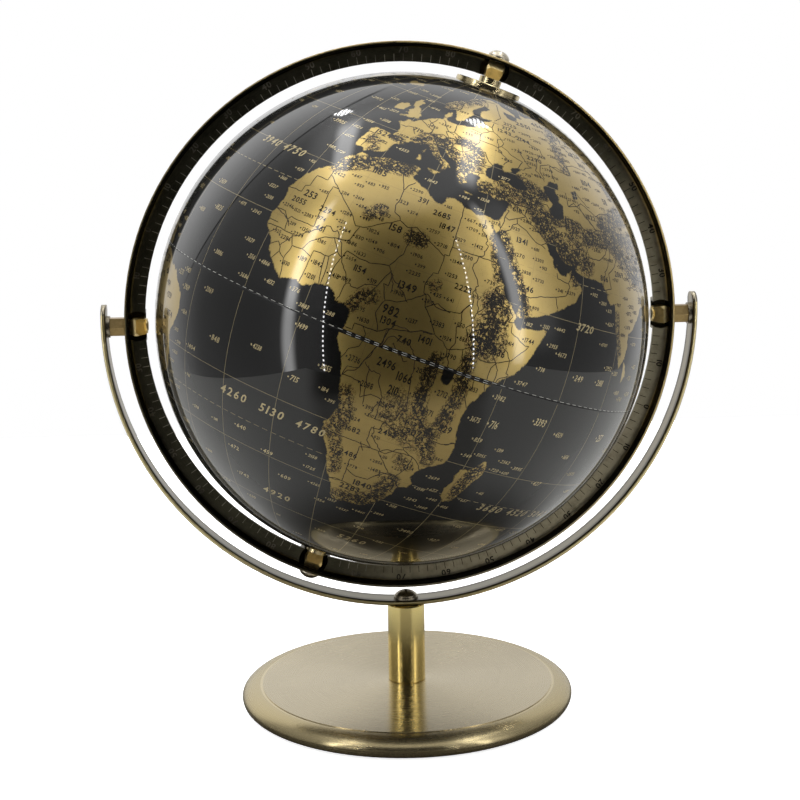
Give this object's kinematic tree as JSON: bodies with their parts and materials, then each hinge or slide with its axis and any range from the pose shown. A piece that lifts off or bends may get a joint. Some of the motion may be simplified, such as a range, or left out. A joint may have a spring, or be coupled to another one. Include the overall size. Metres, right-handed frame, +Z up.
{
  "type": "desktop globe on stand",
  "caption": "Tabletop world globe whose ball turns on a tilted axis inside a meridian ring, and the ring swings in a half-round fork on a post and a round weighted base.",
  "frame": {"origin": "centre of the foot pad's underside, on the table", "axes": "+Z up, +X to the viewer's right along the ring's pivot axis, +Y away from the viewer; the meridian ring stands in the XZ plane"},
  "size_m": [0.243, 0.2, 0.2745],
  "materials": {
    "base_brass": "brushed in circles, antique lacquer",
    "cast_weight": "as cast, painted black",
    "foot_foam": "black felt",
    "zinc_steel": "zinc plated",
    "post_brass": "satin, antique lacquer",
    "fork_brass": "satin, antique lacquer",
    "dark_bronze": "darkened",
    "ring_bronze": "dark antique bronze, bright edges",
    "block_brass": "machined, antique lacquer",
    "screw_steel": "satin nickel over brass",
    "disc_brass": "polished",
    "globe_plastic": "gloss lacquer over a printed map",
    "inner_plastic": "unpainted",
    "bush_plastic": "self-lubricating plastic"
  },
  "bodies": {
    "stand": {"base_cover": "base_brass", "base_weight": "cast_weight", "base_pad": "foot_foam", "base_bolt": "zinc_steel", "base_washer": "zinc_steel", "post": "post_brass", "fork": "fork_brass", "fork_washer": "dark_bronze", "fork_screw": "dark_bronze", "pivot_washer_left": "dark_bronze", "pivot_washer_right": "dark_bronze"},
    "ring": {"meridian_ring": "ring_bronze", "ring_block_north": "block_brass", "ring_block_south": "block_brass", "ring_block_left": "block_brass", "ring_block_right": "block_brass", "hex_spacer_left": "block_brass", "hex_spacer_right": "block_brass", "pivot_screw_left": "screw_steel", "pivot_screw_right": "screw_steel", "axle_screw_north": "screw_steel", "axle_screw_south": "screw_steel", "axle_sleeve_north": "disc_brass", "axle_sleeve_south": "disc_brass"},
    "globe": {"globe_north": "globe_plastic", "globe_south": "globe_plastic", "equator_band": "inner_plastic", "hour_disc": "disc_brass", "south_collar": "disc_brass", "polar_bush_north": "bush_plastic", "polar_bush_south": "bush_plastic"}
  },
  "joints": [
    {"name": "ring_tilt", "type": "hinge", "parent": "stand", "child": "ring", "pos_m": [0, 0, 0.1624], "axis": [1, 0, 0], "continuous": true},
    {"name": "globe_spin", "type": "hinge", "parent": "ring", "child": "globe", "pos_m": [0, 0, 0.1624], "axis": [0.3584, 0, 0.9336], "continuous": true}
  ]
}
